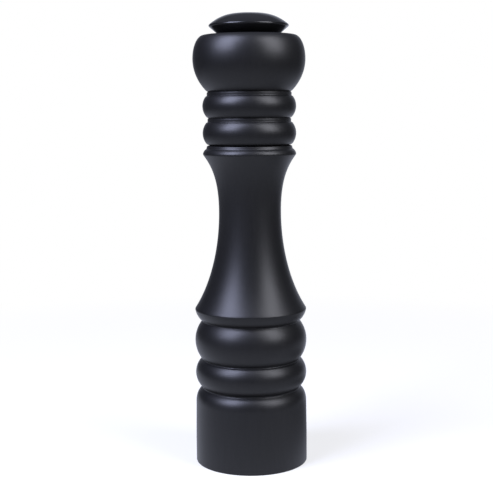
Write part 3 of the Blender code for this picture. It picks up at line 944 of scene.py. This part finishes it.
FLOOR_RADIUS = 4.0
FLOOR_DROP = 0.00005
COOL = (0.79, 0.83, 1.0, 1.0)
PAPER_SHADE = 0.42
PAPER_GLOW = 0.60
TO_WHITE = ((0.16, 0.0), (0.55, 1.0))
TABLE_MIDDLE = (-0.06, 0.2, 0)
TABLE_LIGHT = ((0.0, 0.95), (0.2, 0.8), (0.34, 0.5), (0.5, 0.42), (0.8, 0.0))
SHADOW_MIDDLE = (0.13, 0.06, 0)
SHADOW = ((0.0, 0.08), (0.04, 0.2), (0.12, 1.0))
BACKDROP_WAY = (0.12, 0.993, 0.0)
ROOM_LIGHT = ((-1.0, 0.18), (0.0, 0.08), (0.76, 0.08), (0.90, 0.46), (1.0, 1.1))
CEILING_LIGHT = ((0.55, 0.0), (0.8, 0.2), (1.0, 0.24))


def brightness(material, value, stops):
    """A brightness that follows stops of (value, level), straight between them."""
    nodes, links = material.node_tree.nodes, material.node_tree.links
    reach = nodes.new("ShaderNodeMapRange")
    reach.inputs["From Min"].default_value = stops[0][0]
    reach.inputs["From Max"].default_value = stops[-1][0]
    links.new(value, reach.inputs["Value"])
    scale = nodes.new("ShaderNodeValToRGB")
    shades = scale.color_ramp.elements
    for mark, _ in stops[1:-1]:
        shades.new((mark - stops[0][0]) / (stops[-1][0] - stops[0][0]))
    for shade, (_, level) in zip(shades, stops):
        shade.color = (level, level, level, 1.0)
    links.new(reach.outputs["Result"], scale.inputs["Fac"])
    return scale.outputs["Color"]


def reach_from(material, coordinate, spot):
    """How far a coordinate is from a spot on the table."""
    nodes, links = material.node_tree.nodes, material.node_tree.links
    span = nodes.new("ShaderNodeVectorMath")
    span.operation = "DISTANCE"
    links.new(coordinate, span.inputs[0])
    span.inputs[1].default_value = spot
    return span.outputs["Value"]


def room_light(material, coordinate):
    """What lies that way from the mill: the white backdrop behind, and the dim room."""
    nodes, links = material.node_tree.nodes, material.node_tree.links
    way = nodes.new("ShaderNodeVectorMath")
    way.operation = "NORMALIZE"
    links.new(coordinate, way.inputs[0])
    behind = nodes.new("ShaderNodeVectorMath")
    behind.operation = "DOT_PRODUCT"
    links.new(way.outputs["Vector"], behind.inputs[0])
    behind.inputs[1].default_value = BACKDROP_WAY
    return brightness(material, behind.outputs["Value"], ROOM_LIGHT)


bpy.ops.object.select_all(action="DESELECT")
bpy.ops.mesh.primitive_circle_add(
    vertices=128, radius=FLOOR_RADIUS, fill_type="NGON", location=(0, 0, -FLOOR_DROP)
)
floor = bpy.context.object
floor.name = "floor"
paper = bpy.data.materials.new("white paper")
paper.use_nodes = True
nodes, links = paper.node_tree.nodes, paper.node_tree.links
nodes.clear()
spot = nodes.new("ShaderNodeTexCoord").outputs["Object"]
lit = nodes.new("ShaderNodeBsdfDiffuse")
lit.inputs["Color"].default_value = (PAPER_SHADE, PAPER_SHADE, PAPER_SHADE, 1.0)
glow = nodes.new("ShaderNodeEmission")
glow.inputs["Color"].default_value = (PAPER_GLOW, PAPER_GLOW, PAPER_GLOW, 1.0)
near = nodes.new("ShaderNodeAddShader")
links.new(lit.outputs["BSDF"], near.inputs[0])
links.new(glow.outputs["Emission"], near.inputs[1])
white = nodes.new("ShaderNodeEmission")
seen = nodes.new("ShaderNodeMixShader")
fade = brightness(paper, reach_from(paper, spot, (0, 0, 0)), TO_WHITE)
links.new(fade, seen.inputs["Fac"])
links.new(near.outputs["Shader"], seen.inputs[1])
links.new(white.outputs["Emission"], seen.inputs[2])
table_light = brightness(paper, reach_from(paper, spot, TABLE_MIDDLE), TABLE_LIGHT)
shade = brightness(paper, reach_from(paper, spot, SHADOW_MIDDLE), SHADOW)
shine = nodes.new("ShaderNodeMath")
shine.operation = "MULTIPLY_ADD"
links.new(table_light, shine.inputs[0])
links.new(shade, shine.inputs[1])
links.new(room_light(paper, spot), shine.inputs[2])
mirrored = nodes.new("ShaderNodeEmission")
mirrored.inputs["Color"].default_value = COOL
links.new(shine.outputs["Value"], mirrored.inputs["Strength"])
ray = nodes.new("ShaderNodeLightPath")
mix = nodes.new("ShaderNodeMixShader")
links.new(ray.outputs["Is Glossy Ray"], mix.inputs["Fac"])
links.new(seen.outputs["Shader"], mix.inputs[1])
links.new(mirrored.outputs["Emission"], mix.inputs[2])
out = nodes.new("ShaderNodeOutputMaterial")
links.new(mix.outputs["Shader"], out.inputs["Surface"])
floor.data.materials.append(paper)

world = bpy.data.worlds.new("studio")
bpy.context.scene.world = world
world.use_nodes = True
nodes, links = world.node_tree.nodes, world.node_tree.links
nodes.clear()
way = nodes.new("ShaderNodeTexCoord").outputs["Generated"]
room = nodes.new("ShaderNodeBackground")
room.inputs["Color"].default_value = COOL
parts = nodes.new("ShaderNodeSeparateXYZ")
links.new(way, parts.inputs["Vector"])
ceiling = brightness(world, parts.outputs["Z"], CEILING_LIGHT)
total = nodes.new("ShaderNodeMath")
total.operation = "ADD"
links.new(ceiling, total.inputs[0])
links.new(room_light(world, way), total.inputs[1])
links.new(total.outputs["Value"], room.inputs["Strength"])
backdrop = nodes.new("ShaderNodeBackground")
backdrop.inputs["Color"].default_value = (1.0, 1.0, 1.0, 1.0)
ray = nodes.new("ShaderNodeLightPath")
mix = nodes.new("ShaderNodeMixShader")
links.new(ray.outputs["Is Camera Ray"], mix.inputs["Fac"])
links.new(room.outputs["Background"], mix.inputs[1])
links.new(backdrop.outputs["Background"], mix.inputs[2])
out = nodes.new("ShaderNodeOutputWorld")
links.new(mix.outputs["Shader"], out.inputs["Surface"])

# ---------------------------------------------------------------- lights
# Two soft boxes, high in front of the mill on either side. The left one is daylight blue and the
# brighter, and the right one is nearly neutral.

AIM = Vector((0.0, 0.0, 0.125))


def soft_box(name, side, elevation, distance, size, colour, power):
    """A rectangular lamp. side is its angle from straight in front, to the right, in degrees."""
    a, e = math.radians(side), math.radians(elevation)
    away = Vector((math.sin(a) * math.cos(e), -math.cos(a) * math.cos(e), math.sin(e)))
    bpy.ops.object.light_add(type="AREA", location=AIM + away * distance)
    lamp = bpy.context.object
    lamp.name = name
    lamp.rotation_euler = (-away).to_track_quat("-Z", "Y").to_euler()
    lamp.data.shape = "RECTANGLE"
    lamp.data.size, lamp.data.size_y = size
    lamp.data.color = colour
    lamp.data.energy = power
    lamp.visible_camera = False


soft_box(
    "left soft box", side=-54, elevation=44.5, distance=1.0, size=(0.56, 0.78),
    colour=(0.69, 0.73, 1.0), power=16.0,
)
soft_box(
    "right soft box", side=55, elevation=39, distance=1.0, size=(0.56, 0.80),
    colour=(0.90, 0.91, 1.0), power=8.4,
)

# ---------------------------------------------------------------- camera
# A short telephoto lens just above the joint of head and body, tilted down and leaning a little.

TILT_DOWN = 7.325
LEAN = 0.44

camera = bpy.data.objects.new("camera", bpy.data.cameras.new("camera"))
bpy.context.scene.collection.objects.link(camera)
camera.data.lens = 76.9
camera.data.sensor_width = 36.0
camera.location = (-0.00155, -0.594, 0.2004)
camera.rotation_euler = (math.radians(90 - TILT_DOWN), math.radians(LEAN), 0.0)
bpy.context.scene.camera = camera
bpy.context.scene.view_settings.view_transform = "Standard"
